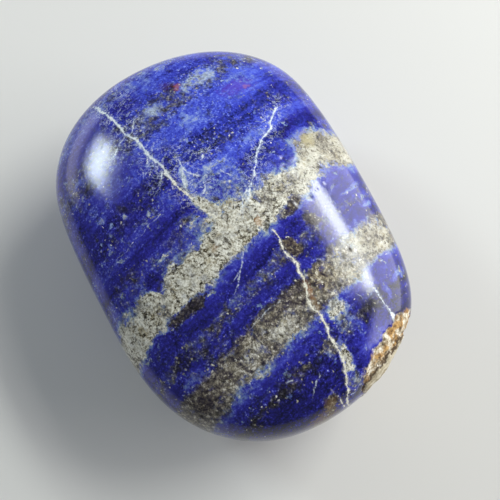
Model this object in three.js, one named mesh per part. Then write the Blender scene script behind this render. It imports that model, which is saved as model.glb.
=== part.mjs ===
// A palm stone: one piece of banded blue rock, sawn to a block, ground to a plump rounded
// cushion that fits the palm, and tumbled until its edges are soft. At one corner a little of
// the raw rock's weathered crust was never ground away.
// X runs along the stone, Y across it and Z up. The origin is under the middle of its box,
// on the surface that it rests on. All sizes are in millimetres, all angles in degrees.
import * as THREE from "three";
import { mergeVertices } from "three/addons/utils/BufferGeometryUtils.js";

// Driving dimensions of the blank
const THICKNESS = 29; // from the resting face to the top of the crown
const WIDEST_LEVEL = 13.5; // height of the widest section
const TOP_CROWN_ALONG = 100; // crown radii of the top face
const TOP_CROWN_ACROSS = 52;
const BASE_CROWN_ALONG = 80; // crown radii of the underside
const BASE_CROWN_ACROSS = 45;
const EDGE_SOFTNESS = 2.6; // how far tumbling has rounded the edges
const RESTING_WEAR = 0.35; // worn off the underside, which leaves the small flat to rest on

// The ground sides in plan: the direction that each faces and how far out it lies
const SIDES = [
  { faces: 0, out: 36.4 },
  { faces: 27, out: 35.6 },
  { faces: 55, out: 35.0 },
  { faces: 87, out: 25.1 },
  { faces: 120, out: 35.4 },
  { faces: 147, out: 37.1 },
  { faces: 178, out: 35.5 },
  { faces: 208, out: 36.1 },
  { faces: 238, out: 33.8 },
  { faces: 271, out: 25.4 },
  { faces: 302, out: 32.5 },
  { faces: 330, out: 36.3 },
];

// The crust: a sunken, lumpy patch on the corner, set upright on the side of the stone
const CRUST = {
  middle: new THREE.Vector3(32.8, 13.5, 13),
  faces: 26, // the direction that the patch looks in, in plan
  deep: 6, // half sizes of the patch: into the stone, along its side and up
  along: 8.4,
  up: 13,
  sunk: 0.25,
  lump: 0.3,
  lumpSpacing: 4.2,
};

// Hand grinding leaves the polished faces very slightly wavy
const WAVE_HEIGHT = 0.08;
const WAVE_LENGTH = 17;

// How finely the surface is divided, along, across and up
const STEPS = { along: 38, across: 28, up: 16 };

const rad = THREE.MathUtils.degToRad;
const CENTRE = new THREE.Vector3(0, 0, WIDEST_LEVEL);

// One smooth limit out of several: the blend rounds the edge where two of them meet
function softMaximum(values, softness) {
  const most = Math.max(...values);
  const sum = values.reduce((s, v) => s + Math.exp((v - most) / softness), 0);
  return most + softness * Math.log(sum);
}

function beyondSide(p, side) {
  return p.x * Math.cos(rad(side.faces)) + p.y * Math.sin(rad(side.faces)) - side.out;
}

// How far p lies outside the ground and tumbled stone, exact at its surface
function beyondSurface(p) {
  const top = THICKNESS - p.x ** 2 / (2 * TOP_CROWN_ALONG) - p.y ** 2 / (2 * TOP_CROWN_ACROSS);
  const base =
    p.x ** 2 / (2 * BASE_CROWN_ALONG) + p.y ** 2 / (2 * BASE_CROWN_ACROSS) - RESTING_WEAR;
  const sides = SIDES.map((side) => beyondSide(p, side));
  return softMaximum([p.z - top, base - p.z, ...sides], EDGE_SOFTNESS);
}

// Slow ripples with no grain or direction
function ripple(p, length) {
  const k = (2 * Math.PI) / length;
  return (
    Math.sin(k * p.x + 1.3 * Math.sin(k * 0.7 * p.y)) *
    Math.sin(k * p.y + 1.1 * Math.sin(k * 0.6 * p.z) + 0.8) *
    Math.cos(k * p.z + 0.9 * Math.sin(k * 0.8 * p.x))
  );
}

// 1 over the crust and 0 on the ground stone around it: squares of squares make its rim boxy
function crustShare(p) {
  const q = p.clone().sub(CRUST.middle);
  const c = Math.cos(rad(CRUST.faces));
  const s = Math.sin(rad(CRUST.faces));
  const deep = (q.x * c + q.y * s) / CRUST.deep;
  const along = (q.y * c - q.x * s) / CRUST.along;
  const up = q.z / CRUST.up;
  return 1 - THREE.MathUtils.smoothstep(Math.hypot(deep ** 2, along ** 2, up ** 2), 0.75, 1.05);
}

// Where a ray from the middle of the stone leaves it
function surfacePoint(direction) {
  const p = new THREE.Vector3();
  const along = (reach) => p.copy(direction).multiplyScalar(reach).add(CENTRE);
  let inside = 0;
  let outside = THICKNESS * 3;
  for (let i = 0; i < 40; i++) {
    const half = (inside + outside) / 2;
    if (beyondSurface(along(half)) > 0) outside = half;
    else inside = half;
  }
  const crust = crustShare(along(inside));
  const sunk = crust * (CRUST.sunk + CRUST.lump * ripple(p, CRUST.lumpSpacing));
  const wave = (1 - crust) * WAVE_HEIGHT * ripple(p, WAVE_LENGTH);
  along(inside - sunk - wave);
  if (p.z < 0) {
    along(-WIDEST_LEVEL / direction.z).setZ(0);
  }
  return p;
}

// A block with its faces divided into a grid, each corner of which moves out to the surface
function stoneGeometry() {
  const size = { x: 2 * SIDES[0].out, y: 2 * SIDES[3].out, z: THICKNESS };
  const block = new THREE.BoxGeometry(size.x, size.y, size.z, STEPS.along, STEPS.across, STEPS.up);
  block.deleteAttribute("normal");
  block.deleteAttribute("uv");
  const stone = mergeVertices(block);
  const place = stone.getAttribute("position");
  const direction = new THREE.Vector3();
  for (let i = 0; i < place.count; i++) {
    direction.fromBufferAttribute(place, i).normalize();
    const p = surfacePoint(direction);
    place.setXYZ(i, p.x, p.y, p.z);
  }
  stone.computeBoundingBox();
  const middle = stone.boundingBox.getCenter(new THREE.Vector3());
  stone.translate(-middle.x, -middle.y, -stone.boundingBox.min.z);
  stone.computeVertexNormals();
  return stone;
}

const lapis = new THREE.MeshStandardMaterial({
  name: "polished_stone",
  color: 0x1d2a8f,
  roughness: 0.18,
  metalness: 0,
});

const stone = new THREE.Mesh(stoneGeometry(), lapis);
stone.name = "palm_stone";

const part = new THREE.Group();
part.name = "palm_stone_part";
part.add(stone);

export default part;
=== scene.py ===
# %% [markdown]
# # A palm stone of lapis lazuli
# A palm stone is a piece of rock that a lapidary saws to a block, grinds to a plump cushion and
# polishes, so that it sits well in a closed hand. This one is lapis lazuli: blue lazurite in
# beds, with pale calcite, brassy pyrite, white veins and, at one corner, a little of the
# weathered crust that the rock had in the ground. The lesson makes the shape first, then wears
# and pits it, and then builds the rock itself as one material that runs right through it.

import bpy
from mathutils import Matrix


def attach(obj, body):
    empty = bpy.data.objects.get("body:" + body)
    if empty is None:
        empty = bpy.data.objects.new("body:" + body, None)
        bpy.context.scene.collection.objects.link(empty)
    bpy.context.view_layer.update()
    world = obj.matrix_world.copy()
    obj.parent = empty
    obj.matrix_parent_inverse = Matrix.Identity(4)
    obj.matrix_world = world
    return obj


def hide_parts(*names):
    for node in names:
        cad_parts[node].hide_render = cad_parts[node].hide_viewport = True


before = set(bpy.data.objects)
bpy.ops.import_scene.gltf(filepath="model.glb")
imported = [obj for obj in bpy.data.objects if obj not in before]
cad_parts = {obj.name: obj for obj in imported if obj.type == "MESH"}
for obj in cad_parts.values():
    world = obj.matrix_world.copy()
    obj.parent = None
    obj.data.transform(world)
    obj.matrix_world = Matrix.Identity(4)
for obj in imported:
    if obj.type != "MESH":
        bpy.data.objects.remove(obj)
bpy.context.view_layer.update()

# %% [markdown]
# Everything below is measured in millimetres, as a stone is thought of, and only the last step of
# the shape turns it into metres. One small function adds a node to any tree: its settings are
# keyword arguments, and its inputs are a list, which fills the sockets in use from the top, or
# are named one by one. Each is a value or another node, whose first output in use is meant
# unless a socket is given. Shader nodes are written without the word ShaderNode before them.
# A second function starts a tree of Geometry Nodes with named inputs, and a third writes a sum.

# %% Units and helpers for nodes
import math
from types import SimpleNamespace

import bpy
from mathutils import Vector

MM = 0.001
SOFT = {"interpolation_type": "SMOOTHSTEP"}  # settings that many nodes share
MIXED = {"data_type": "RGBA"}
GRAINY = {"noise_dimensions": "4D", "normalize": False}  # its W keeps a noise apart from others


def add(tree, kind, inputs=(), **settings):
    node = tree.nodes.new(kind if "Node" in kind else "ShaderNode" + kind)
    for name, value in settings.items():
        setattr(node, name, value)
    if isinstance(inputs, dict):
        fed = [(node.inputs[name], source) for name, source in inputs.items()]
    else:
        fed = zip([socket for socket in node.inputs if socket.enabled], inputs)
    for socket, source in fed:
        if isinstance(source, bpy.types.Node):
            source = next(output for output in source.outputs if output.enabled)
        if isinstance(source, bpy.types.NodeSocket):
            tree.links.new(source, socket)
        else:
            socket.default_value = source
    return node


def shape_tree(name, inputs, output):
    """An empty tree of Geometry Nodes. inputs are names with their kinds, output is such a pair."""
    tree = bpy.data.node_groups.new(name, "GeometryNodeTree")
    for socket, kind in inputs.items():
        tree.interface.new_socket(socket, in_out="INPUT", socket_type="NodeSocket" + kind)
    tree.interface.new_socket(output[0], in_out="OUTPUT", socket_type="NodeSocket" + output[1])
    return tree


def add_up(tree, start, *parts):
    """start, plus each field times its weight"""
    for field, weight in parts:
        start = add(tree, "Math", [field, weight, start], operation="MULTIPLY_ADD")
    return start


# %% [markdown]
# ## The blank
# The real stone began as a sawn block. Flat grinding gave it a dozen soft sides and two crowned
# faces, and hours of tumbling rounded every edge by the same amount. That is a rule, so a rule
# makes it here: each ground face is a limit, and the limits are blended by adding up
# exponentials, which rounds their edges just as tumbling does. The blend is zero on the surface
# and grows with the distance outside it.

# %% The sizes of the blank
SIDES = [  # the direction that each side faces, in degrees from X, and how far out it lies, in mm
    (0, 36.4),
    (27, 35.6),
    (55, 35.0),
    (87, 25.1),
    (120, 35.4),
    (147, 37.1),
    (178, 35.5),
    (208, 36.1),
    (238, 33.8),
    (271, 25.4),
    (302, 32.5),
    (330, 36.3),
]
WIDEST_LEVEL = 13.5
BLANK_SIZES = {
    "Thickness": 29.0,
    "Widest Level": WIDEST_LEVEL,
    "Edge Softness": 2.6,
    "Resting Wear": 0.35,
    "Top Crown Along": 100.0,
    "Top Crown Across": 52.0,
    "Base Crown Along": 80.0,
    "Base Crown Across": 45.0,
}
GRID = (186, 135, 77)  # how many points along, across and up
triangles = 4 * (GRID[0] * GRID[1] + GRID[0] * GRID[2] + GRID[1] * GRID[2])
print("blank:", len(SIDES), "sides,", triangles, "triangles")

# %% [markdown]
# The rule is a node group of its own, so that it reads as one thing: a place in millimetres goes
# in, and how far that place lies outside the stone comes out. Squaring X and Y first makes each
# crowned face another plain dot product, like a side.

# %% The rule of the blank
def rule_of_the_blank():
    inputs = {"Place": "Vector", **dict.fromkeys(BLANK_SIZES, "Float")}
    rule = shape_tree("beyond the blank", inputs, ("Beyond", "Float"))
    given = add(rule, "NodeGroupInput")
    place = given.outputs["Place"]
    softness = given.outputs["Edge Softness"]

    squared = add(rule, "VectorMath", [place, place], operation="MULTIPLY")
    squares = add(rule, "SeparateXYZ", [squared])
    level = add(rule, "SeparateXYZ", [place]).outputs["Z"]
    bowed = add(rule, "CombineXYZ", [squares.outputs[0], squares.outputs[1], level])

    limits = []
    for faces, out in SIDES:
        angle = math.radians(faces)
        facing = (math.cos(angle), math.sin(angle), 0)
        reach = add(rule, "VectorMath", [place, facing], operation="DOT_PRODUCT")
        limits.append(add(rule, "Math", [reach, out], operation="SUBTRACT"))
    for face, up, held_at in (("Top", 1, "Thickness"), ("Base", -1, "Resting Wear")):
        radii = [given.outputs[face + " Crown Along"], given.outputs[face + " Crown Across"]]
        bow = [add(rule, "Math", [0.5, radius], operation="DIVIDE") for radius in radii]
        bow = add(rule, "CombineXYZ", [*bow, up])
        reach = add(rule, "VectorMath", [bowed, bow], operation="DOT_PRODUCT")
        limits.append(add(rule, "Math", [reach, given.outputs[held_at]], operation="SUBTRACT"))

    total = 0.0
    for limit in limits:
        steps = add(rule, "Math", [limit, softness], operation="DIVIDE")
        grown = add(rule, "Math", [steps], operation="EXPONENT")
        total = add(rule, "Math", [grown, total], operation="ADD")
    blended = add(rule, "Math", [total, math.e], operation="LOGARITHM")
    beyond = add(rule, "Math", [blended, softness], operation="MULTIPLY")
    add(rule, "NodeGroupOutput", {"Beyond": beyond})
    return rule


blank_rule = rule_of_the_blank()
print("rule of the blank:", len(blank_rule.nodes), "nodes")

# %% [markdown]
# The tree then starts from a block of small square faces and lets every point walk towards the
# middle by as much as it still lies outside. Forty steps bring it to rest on the surface, and
# the block's own grid stays a tidy, closed skin the whole time.

# %% The blank as Geometry Nodes
WALK_STEPS = 40
BLOCK = (76, 54, 30)  # mm, sawn a little larger than the stone


def blank_tree(rule):
    inputs = dict.fromkeys(BLANK_SIZES, "Float")
    tree = shape_tree("ground and tumbled blank", inputs, ("Geometry", "Geometry"))
    given = add(tree, "NodeGroupInput")
    middle = add(tree, "CombineXYZ", {2: given.outputs["Widest Level"]})
    points = {f"Vertices {axis}": count + 1 for axis, count in zip("XYZ", GRID)}
    block = add(tree, "GeometryNodeMeshCube", {"Size": BLOCK, **points})
    raised = add(tree, "GeometryNodeSetPosition", {"Geometry": block, "Offset": middle})

    start = add(tree, "GeometryNodeRepeatInput")
    end = add(tree, "GeometryNodeRepeatOutput")
    start.pair_with_output(end)
    start.inputs["Iterations"].default_value = WALK_STEPS
    tree.links.new(raised.outputs[0], start.inputs["Geometry"])
    place = add(tree, "GeometryNodeInputPosition")
    outwards = add(tree, "VectorMath", [place, middle], operation="SUBTRACT")
    direction = add(tree, "VectorMath", [outwards], operation="NORMALIZE")
    sizes = [given.outputs[name] for name in BLANK_SIZES]
    beyond = add(tree, "GeometryNodeGroup", [place, *sizes], node_tree=rule)
    back = add(tree, "Math", [beyond, -1.0], operation="MULTIPLY")
    stride = add(tree, "VectorMath", [direction, back], operation="SCALE")
    walked = {"Geometry": start.outputs["Geometry"], "Offset": stride}
    walked = add(tree, "GeometryNodeSetPosition", walked)
    tree.links.new(walked.outputs[0], end.inputs["Geometry"])
    realised = add(tree, "GeometryNodeRealizeInstances", {"Geometry": end.outputs["Geometry"]})
    add(tree, "NodeGroupOutput", {"Geometry": realised})
    return tree


grinding = blank_tree(blank_rule)


def set_inputs(modifier, values):
    for item in modifier.node_group.interface.items_tree:
        if item.in_out == "INPUT" and item.name in values:
            modifier[item.identifier] = values[item.name]


def mesh_from(name, start, tree, values):
    carrier = bpy.data.objects.new(name, start)
    bpy.context.scene.collection.objects.link(carrier)
    modifier = carrier.modifiers.new(name, "NODES")
    modifier.node_group = tree
    set_inputs(modifier, values)
    seen = carrier.evaluated_get(bpy.context.evaluated_depsgraph_get())
    mesh = bpy.data.meshes.new_from_object(seen)
    carrier.modifiers.remove(modifier)
    bpy.data.objects.remove(carrier)
    return mesh


blank = mesh_from("blank", bpy.data.meshes.new("nothing yet"), grinding, BLANK_SIZES)
low = [min(v.co[i] for v in blank.vertices) for i in range(3)]
high = [max(v.co[i] for v in blank.vertices) for i in range(3)]
BLANK_MIDDLE = ((low[0] + high[0]) / 2, (low[1] + high[1]) / 2, 0.0)
print("blank in mm, from", [round(v, 2) for v in low], "to", [round(v, 2) for v in high])

# %% [markdown]
# ## The crust
# At one corner the raw rock's own weathered skin was never ground away. It is a boxy lens, set
# upright on the side of the stone, whose rim is ragged: adding squares of squares makes a lens
# boxy. The same few nodes tell both the shape and the material where it is, so this function can
# build them in either kind of tree. It also gives the distance outwards through the crust, which
# its layers follow, and the crack that parts the crumbly layer from the pale ridge beyond it.

# %% Where the crust is
CRUST_MIDDLE = (32.8, 13.5, 13.0)
CRUST_FACES = math.radians(26)
CRUST_HALF_SIZES = (6.0, 8.4, 13.0)  # into the stone, along its side and up, in mm
CRUST_RIM = (0.92, 0.80)  # how far out, of its half sizes, it begins and is whole
LAYERS_FACE = math.radians(20)  # its layers lie a little askew
RAGGED = 2.2  # mm between the tongues of its rim and of its layers
RIDGE_BEGINS = -2.2  # mm outwards through the crust: a crack, and beyond it the pale ridge
CRACK_HALF_WIDTHS = (0.45, 0.05)  # mm, at its lips and at its bottom


def crust_field(tree, place):
    c = math.cos(CRUST_FACES)
    s = math.sin(CRUST_FACES)
    from_middle = add(tree, "VectorMath", [place, CRUST_MIDDLE], operation="SUBTRACT")
    inside = []
    for axis, half in zip(((c, s, 0), (-s, c, 0), (0, 0, 1)), CRUST_HALF_SIZES):
        scaled = [from_middle, [v / half for v in axis]]
        inside.append(add(tree, "VectorMath", scaled, operation="DOT_PRODUCT"))
    squared = add(tree, "CombineXYZ", inside)
    squared = add(tree, "VectorMath", [squared, squared], operation="MULTIPLY")
    reach = add(tree, "VectorMath", [squared], operation="LENGTH")
    torn = add(tree, "TexNoise", [place, 31, 1 / RAGGED, 4, 0.7], **GRAINY)
    reach = add(tree, "Math", [torn, 0.15, reach], operation="MULTIPLY_ADD")
    share = add(tree, "MapRange", [reach, *CRUST_RIM], **SOFT)
    outwards = [from_middle, (math.cos(LAYERS_FACE), math.sin(LAYERS_FACE), 0)]
    outwards = add(tree, "VectorMath", outwards, operation="DOT_PRODUCT")
    layer = add(tree, "Math", [torn, 0.6, outwards], operation="MULTIPLY_ADD")
    crack = add(tree, "Math", [layer, RIDGE_BEGINS], operation="SUBTRACT")
    crack = add(tree, "Math", [crack], operation="ABSOLUTE")
    crack = add(tree, "MapRange", [crack, *CRACK_HALF_WIDTHS], **SOFT)
    return share, layer, crack


# %% [markdown]
# ## Wear
# Hand grinding left the polished faces very slightly wavy, the crust lies a little lower than
# the polish and is lumpy, with a groove behind its pale outer layer, and soft calcite lost small
# grains while it was polished, which left pits. All of it moves the skin along its own normal.
# Pits are scattered with Distribute Points on Faces, only where the pale beds come to the
# surface, and each point of the skin asks how near it is to one. What would hang below the table
# is worn flat, which is the small spot that the stone rests on. Last, the middle of the box is
# put over the origin and millimetres become metres.

# %% Wear as Geometry Nodes
WEAR_SIZES = {
    "Wave Height": 0.08,
    "Wave Length": 17.0,
    "Crust Sunk": 0.25,
    "Crust Lump": 0.3,
    "Crust Lump Spacing": 4.2,
    "Pits per mm2": 0.16,
    "Pit Radius": 0.55,
    "Pit Depth": 0.16,
}
CRACK_DEPTH = 0.35  # mm, the crack before the crust's ridge
PIT_SEED = 11
SMALLEST_PIT = 0.35  # of the largest one
BED_LEAN = (1.0, 0.28, 0.06)  # the beds cross the stone from side to side and lean a little
BEDS_LEVEL = 27.0  # at this height and in the middle of the stone, beds are counted from zero
PALE_BEDS = ((4.2, 3.6), (19.6, 3.0))  # their middles and half widths, in mm
PALE_EDGE = 1.0  # mm either way over which the pits thin out
GROOVE_SLOPE = 0.4  # mm over which the crust rises to its ridge


def beds_across(tree, place):
    """millimetres through the beds of the rock"""
    across = add(tree, "VectorMath", [place, BED_LEAN], operation="DOT_PRODUCT")
    return add(tree, "Math", [across, BEDS_LEVEL * BED_LEAN[2]], operation="SUBTRACT")


def wear_tree():
    inputs = {"Geometry": "Geometry", **dict.fromkeys(WEAR_SIZES, "Float")}
    inputs.update({"Pit Seed": "Int", "Middle": "Vector", "Surface": "Material"})
    tree = shape_tree("wear", inputs, ("Geometry", "Geometry"))
    given = add(tree, "NodeGroupInput")
    skin = given.outputs["Geometry"]
    place = add(tree, "GeometryNodeInputPosition")
    level = add(tree, "SeparateXYZ", [place]).outputs["Z"]

    finest = add(tree, "Math", [1.0, given.outputs["Wave Length"]], operation="DIVIDE")
    waves = add(tree, "TexNoise", [place, 41, finest, 1], **GRAINY)
    waves = add(tree, "Math", [waves, given.outputs["Wave Height"]], operation="MULTIPLY")

    share, layer, crack = crust_field(tree, place)
    closeness = add(tree, "Math", [1.0, given.outputs["Crust Lump Spacing"]], operation="DIVIDE")
    lumps = add(tree, "TexNoise", [place, 42, closeness, 4, 0.6], **GRAINY)
    sunk = [layer, RIDGE_BEGINS + GROOVE_SLOPE, RIDGE_BEGINS, 0.0, given.outputs["Crust Sunk"]]
    sunk = add(tree, "MapRange", sunk, **SOFT)
    sunk = add_up(tree, sunk, (lumps, given.outputs["Crust Lump"]), (crack, CRACK_DEPTH))
    sunk = add(tree, "Math", [sunk, share], operation="MULTIPLY")

    across = beds_across(tree, place)
    soft_rock = 0.0
    for middle, half in PALE_BEDS:
        off = add(tree, "Math", [across, middle], operation="SUBTRACT")
        off = add(tree, "Math", [off], operation="ABSOLUTE")
        here = add(tree, "MapRange", [off, half + PALE_EDGE, half - PALE_EDGE], **SOFT)
        soft_rock = add(tree, "Math", [here, soft_rock], operation="MAXIMUM")
    density = add(tree, "Math", [soft_rock, given.outputs["Pits per mm2"]], operation="MULTIPLY")
    scatter = {"Mesh": skin, "Density": density, "Seed": given.outputs["Pit Seed"]}
    pits = add(tree, "GeometryNodeDistributePointsOnFaces", scatter)
    nearest = add(tree, "GeometryNodeProximity", [pits], target_element="POINTS")
    which = add(tree, "GeometryNodeSampleNearest", [pits], domain="POINT")
    luck = add(tree, "FunctionNodeRandomValue", [SMALLEST_PIT, 1.0, which, PIT_SEED])
    radius = add(tree, "Math", [luck, given.outputs["Pit Radius"]], operation="MULTIPLY")
    near = add(tree, "MapRange", [nearest.outputs["Distance"], radius, 0.0], **SOFT)
    dent = add(tree, "Math", [near, given.outputs["Pit Depth"]], operation="MULTIPLY")
    dent = add(tree, "Math", [dent, luck], operation="MULTIPLY")

    lost = add(tree, "Math", [sunk, waves], operation="ADD")
    lost = add(tree, "Math", [lost, dent], operation="ADD")
    lost = add(tree, "Math", [lost, -1.0], operation="MULTIPLY")
    normal = add(tree, "GeometryNodeInputNormal")
    inwards = add(tree, "VectorMath", [normal, lost], operation="SCALE")
    noted = {"Geometry": skin, "Name": "pit", "Value": near}
    noted = add(tree, "GeometryNodeStoreNamedAttribute", noted, data_type="FLOAT", domain="POINT")
    weathered = add(tree, "GeometryNodeSetPosition", {"Geometry": noted, "Offset": inwards})

    hanging = add(tree, "FunctionNodeCompare", [level, 0.0], operation="LESS_THAN", data_type="FLOAT")
    middle = (0, 0, WIDEST_LEVEL)
    outwards = add(tree, "VectorMath", [place, middle], operation="SUBTRACT")
    below = add(tree, "Math", [WIDEST_LEVEL, level], operation="SUBTRACT")
    kept = add(tree, "Math", [WIDEST_LEVEL, below], operation="DIVIDE")
    outwards = add(tree, "VectorMath", [outwards, kept], operation="SCALE")
    flat = add(tree, "VectorMath", [outwards, middle], operation="ADD")
    wearing = {"Geometry": weathered, "Selection": hanging, "Position": flat}
    worn = add(tree, "GeometryNodeSetPosition", wearing)

    back = add(tree, "VectorMath", [given.outputs["Middle"], -1.0], operation="SCALE")
    centred = add(tree, "GeometryNodeSetPosition", {"Geometry": worn, "Offset": back})
    metres = add(tree, "GeometryNodeTransform", {"Geometry": centred, "Scale": (MM, MM, MM)})
    realised = add(tree, "GeometryNodeRealizeInstances", {"Geometry": metres})
    surface = {"Geometry": realised, "Material": given.outputs["Surface"]}
    add(tree, "NodeGroupOutput", {"Geometry": add(tree, "GeometryNodeSetMaterial", surface)})
    return tree


wearing_down = wear_tree()
print("wear:", len(wearing_down.nodes), "nodes")

# %% [markdown]
# ## The rock
# Lapis lazuli is blue lazurite with white calcite mixed into it. Where there is little calcite
# the rock is deep blue, with more it turns royal and then sky blue, and pure calcite is a greyish
# cream. So one number, the whiteness, gives the colour of most of the rock. A second number is
# the share of dark, pyrite-rich matrix, and a third how warm iron has stained it. All three
# follow the beds of the rock, which run across the stone and lean a little, so the material
# counts millimetres through the rock and the same beds come out again on the underside.
#
# Colours are written as a painter would pick them, in sRGB, and one function turns them into the
# linear values that light is worked out in.

# %% Colours
def linear(hex_colour):
    parts = [int(hex_colour[i : i + 2], 16) / 255 for i in (1, 3, 5)]
    return tuple(p / 12.92 if p <= 0.04045 else ((p + 0.055) / 1.055) ** 2.4 for p in parts) + (1.0,)


def fill_ramp(node, stops):
    ramp = node.color_ramp
    while len(ramp.elements) > 1:
        ramp.elements.remove(ramp.elements[-1])
    for index, (position, colour) in enumerate(stops):
        element = ramp.elements[0] if index == 0 else ramp.elements.new(position)
        element.position = position
        element.color = linear(colour) if isinstance(colour, str) else colour
    return node


# Lazurite, from nearly none of the calcite to much of it: one kind leans to violet, one to azure
VIOLET_BLUE = [
    (0.00, "#0b0a3c"),
    (0.12, "#1d1b70"),
    (0.24, "#2a2994"),
    (0.36, "#3c3fb0"),
    (0.50, "#626ac6"),
    (0.70, "#a3aed8"),
]
AZURE_BLUE = [
    (0.00, "#0c0e3c"),
    (0.12, "#202880"),
    (0.24, "#363fb8"),
    (0.36, "#5060d6"),
    (0.50, "#7e8ee4"),
    (0.70, "#b8c4ea"),
]
GREYED_BLUE = [
    (0.0, "#0b0b1c"),
    (0.16, "#24264e"),
    (0.32, "#454a74"),
    (0.5, "#8088a0"),
    (0.7, "#c4c8cc"),
]
HAZE = [(0.30, "#4254a2"), (0.44, "#7087b0"), (0.58, "#9cabb4")]  # calcite's blue edge
# the calcite's edge on the azure half: partly its own colour, partly painted light from a sky-blue window
AZURE_HAZE = [(0.30, "#465cbc"), (0.44, "#768cce"), (0.58, "#a6b4da")]
CALCITE = [
    (0.14, "#2c261c"),
    (0.26, "#5d5544"),
    (0.36, "#8d8776"),
    (0.46, "#b3ae9d"),
    (0.60, "#cecabb"),
    (0.84, "#efece0"),
]
MATRIX_COLD = [
    (0.20, "#0b0b11"),
    (0.40, "#26262f"),
    (0.54, "#4d505b"),
    (0.68, "#8a8d92"),
    (0.84, "#d0d2d6"),
]
MATRIX_WARM = [
    (0.20, "#130e08"),
    (0.40, "#3a2f20"),
    (0.54, "#6c5f43"),
    (0.68, "#a19272"),
    (0.84, "#e0d8c4"),
]
VEIN_BLUISH = [(0.30, "#8c9cc8"), (0.44, "#c3cfe0"), (0.60, "#eff2f0")]
VEIN_CREAM = [(0.30, "#857d68"), (0.44, "#cdc8b6"), (0.60, "#f1eee2")]
CRUMBLY_WHITE = [
    (0.22, "#3a2f20"),
    (0.38, "#7c6d52"),
    (0.50, "#ab9c80"),
    (0.62, "#cfc5b0"),
    (0.80, "#f2efe6"),
]
CRUST_RUST = "#dcb068"  # what rust does to the white of the crust
RIDGE_IVORY = [(0.28, "#6b5b42"), (0.44, "#a4967a"), (0.58, "#c4b99f"), (0.78, "#ebe3d2")]
CRACK_BROWN = "#4b3822"
RUST = "#b3a272"  # and to calcite
# on the azure half the calcite is tinted bluer and painted lighter: partly its own colour, partly the
# painted cast of a sky-blue window
COOLED = "#bccef6"  # what thin blue under the calcite does to it on the azure half
# from the brass of pyrite up to near white: the lightest end is a painted glint
BRASS_AND_GLINT = [(0.0, "#77705a"), (0.7, "#aea890"), (1.0, "#faf6ea")]
# the colour that the pits are painted
PIT_DARK = "#3a352b"
print("deep blue in linear light:", [round(v, 4) for v in linear("#221b92")])

# %% [markdown]
# The beds were read off the stone along its middle line, from one end to the other. Each row
# says where a bed begins and what it is made of, and colour ramps carry the three numbers from
# row to row. Two ramps are used because one can't hold so many rows.

# %% The beds
BEDS_LEFT = [  # mm along X on the middle line: whiteness, dark share, warmth
    (-36, 0.22, 0.10, 0.0),
    (-31.5, 0.40, 0.15, 0.1),
    (-30, 0.36, 0.10, 0.0),
    (-29, 0.28, 0.05, 0.0),
    (-26, 0.24, 0.10, 0.0),
    (-24.2, 0.26, 0.30, 0.2),
    (-23, 0.34, 0.36, 0.3),
    (-21, 0.34, 0.42, 0.4),
    (-19.5, 0.30, 0.30, 0.2),
    (-17.8, 0.30, 0.08, 0.0),
    (-13.8, 0.30, 0.10, 0.0),
    (-12.6, 0.17, 0.20, 0.3),
    (-9.4, 0.15, 0.20, 0.3),
    (-8.2, 0.27, 0.18, 0.2),
    (-6.6, 0.30, 0.16, 0.1),
    (-5.6, 0.28, 0.12, 0.1),
    (-4.6, 0.13, 0.02, 0.0),
    (-3.4, 0.13, 0.05, 0.0),
    (-2.6, 0.27, 0.28, 0.3),
    (0.0, 0.34, 0.25, 0.3),
]
BEDS_RIGHT = [
    (0.0, 0.34, 0.25, 0.3),
    (1.4, 0.60, 0.20, 0.2),
    (2.4, 0.84, 0.22, 0.3),
    (6.2, 0.86, 0.20, 0.2),
    (7.4, 0.54, 0.08, 0.1),
    (8.6, 0.28, 0.02, 0.0),
    (9.6, 0.15, 0.02, 0.0),
    (10.8, 0.13, 0.06, 0.0),
    (11.6, 0.34, 0.40, 0.4),
    (13.2, 0.30, 0.40, 0.4),
    (14.0, 0.17, 0.06, 0.0),
    (15.6, 0.17, 0.14, 0.1),
    (16.4, 0.28, 0.56, 0.6),
    (17.4, 0.46, 0.72, 0.7),
    (19.4, 0.50, 0.70, 0.65),
    (21.6, 0.52, 0.60, 0.6),
    (22.6, 0.42, 0.25, 0.3),
    (23.8, 0.22, 0.08, 0.0),
    (25.6, 0.16, 0.20, 0.1),
    (26.6, 0.12, 0.50, 0.3),
    (28.0, 0.10, 0.20, 0.1),
    (30, 0.08, 0.06, 0.0),
    (36, 0.10, 0.15, 0.1),
]


def bed_ramp(tree, across, beds):
    low = beds[0][0]
    high = beds[-1][0]
    spot = add(tree, "MapRange", [across, low, high])
    stops = [((mm - low) / (high - low), (white, dark, warm, 1)) for mm, white, dark, warm in beds]
    return fill_ramp(add(tree, "ValToRGB", [spot]), stops)


print("beds:", len(BEDS_LEFT) + len(BEDS_RIGHT) - 1)

# %% [markdown]
# Nothing in a rock has an even edge or an even colour, so noises fray and mottle all of it. They
# stand in one table, which says how many waves each has in a millimetre of the real stone:
# crystals are about half a millimetre and less, torn edges a millimetre or two, lumps three.
# Each has its own place along a fourth axis, W, so that no two of them are alike.

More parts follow.
